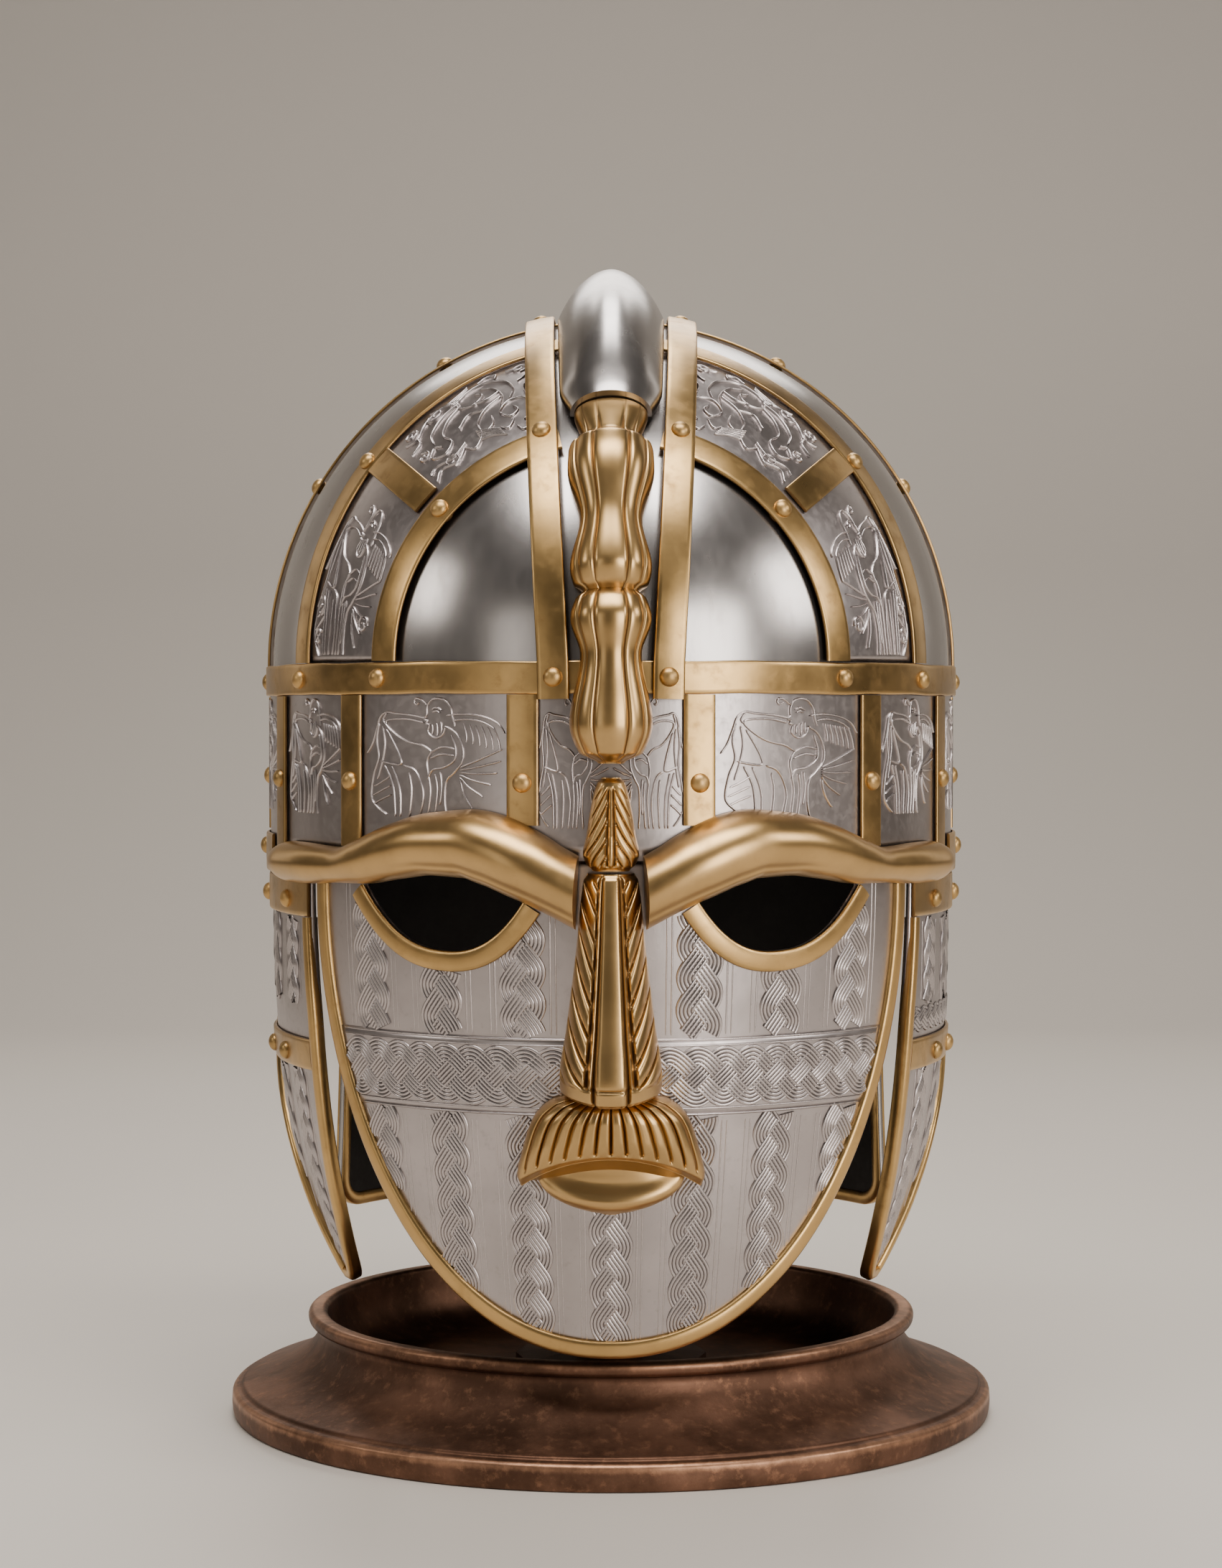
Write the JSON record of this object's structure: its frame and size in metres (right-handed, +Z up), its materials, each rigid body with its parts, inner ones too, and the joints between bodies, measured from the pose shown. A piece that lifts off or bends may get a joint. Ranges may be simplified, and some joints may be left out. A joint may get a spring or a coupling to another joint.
{
  "type": "anglo-saxon helmet on display stand",
  "caption": "Crested helmet with riveted brass strips, patterned foil, face mask with cast brows, nose and moustache, cheek and neck guards, on a round dish stand.",
  "frame": {"origin": "centre of the stand's foot, on the surface that it stands on", "axes": "+Z up, the face looks along -Y, +X is the side to the right of someone facing the mask"},
  "size_m": [0.2374, 0.2765, 0.3549],
  "materials": {
    "polished_steel": "polished iron, soft reflections",
    "silver_foil": "pressed silvered foil with raised line patterns",
    "brass": "rubbed brass strip",
    "gilt_bronze": "polished gilt bronze castings",
    "dark_bronze": "dark brown patinated bronze",
    "leather": "plain dark leather"
  },
  "bodies": {
    "root": {"brow_band": "brass", "brow_foil": "silver_foil", "cap": "polished_steel", "cheek_guard_left": "silver_foil", "cheek_guard_right": "silver_foil", "cheek_mid_plate_left": "brass", "cheek_mid_plate_right": "brass", "cheek_rim_left": "brass", "cheek_rim_right": "brass", "cheek_tab_left": "leather", "cheek_tab_right": "leather", "cheek_top_plate_left": "brass", "cheek_top_plate_right": "brass", "crest_ornament_back": "gilt_bronze", "crest_ornament_front": "gilt_bronze", "crest_strip_left": "brass", "crest_strip_right": "brass", "crest_tube": "polished_steel", "cross_strip_back_left": "brass", "cross_strip_back_right": "brass", "cross_strip_front_left": "brass", "cross_strip_front_right": "brass", "dome_foil_back_left": "silver_foil", "dome_foil_back_right": "silver_foil", "dome_foil_front_left": "silver_foil", "dome_foil_front_right": "silver_foil", "ear_band": "brass", "edge_band": "brass", "eye_rim_left": "brass", "eye_rim_right": "brass", "eyebrow_left": "gilt_bronze", "eyebrow_right": "gilt_bronze", "inner_arch_back": "brass", "inner_arch_front": "brass", "lip": "gilt_bronze", "lower_strip_1_left": "brass", "lower_strip_1_right": "brass", "lower_strip_2_left": "brass", "lower_strip_2_right": "brass", "lower_strip_3_left": "brass", "lower_strip_3_right": "brass", "lower_strip_4_left": "brass", "lower_strip_4_right": "brass", "lower_strip_5_left": "brass", "lower_strip_5_right": "brass", "lower_strip_6_left": "brass", "lower_strip_6_right": "brass", "mask": "silver_foil", "mask_rim": "brass", "moustache": "gilt_bronze", "neck_guard": "polished_steel", "neck_rim": "brass", "neck_tab": "leather", "nose": "gilt_bronze", "nose_leaf": "gilt_bronze", "outer_arch_back": "brass", "outer_arch_front": "brass", "post": "dark_bronze", "stand": "dark_bronze"}
  },
  "joints": []
}
